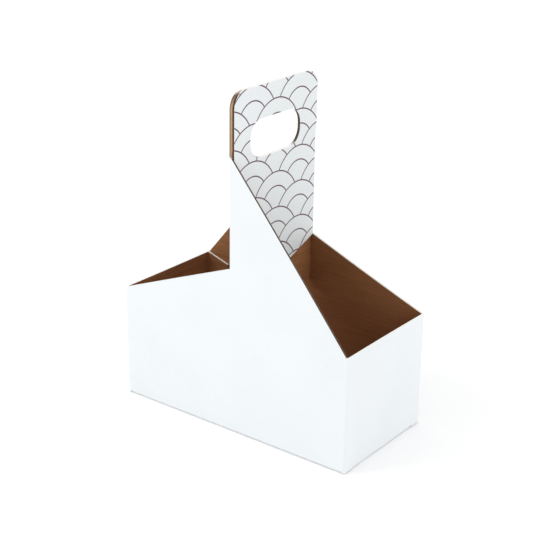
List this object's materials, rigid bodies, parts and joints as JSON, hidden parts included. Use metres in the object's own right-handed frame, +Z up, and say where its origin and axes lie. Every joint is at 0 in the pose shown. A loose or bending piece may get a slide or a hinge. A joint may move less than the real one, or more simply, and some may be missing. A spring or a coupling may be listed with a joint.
{
  "type": "cardboard cup carrier",
  "caption": "Folded cardboard carrier: an open tray with a tall centre handle that divides it, sloping long walls and a rounded hand hole.",
  "frame": {"origin": "on the ground under the middle of the carrier", "axes": "+X along the length, towards the wall end that the front's steep shoulder runs down to, +Y from front to back, +Z up"},
  "size_m": [0.257, 0.124, 0.321],
  "materials": {
    "board": "white printed liner outside, brown kraft liner inside, cut edges showing fine flutes"
  },
  "bodies": {
    "root": {"carrier": "board"}
  },
  "joints": []
}
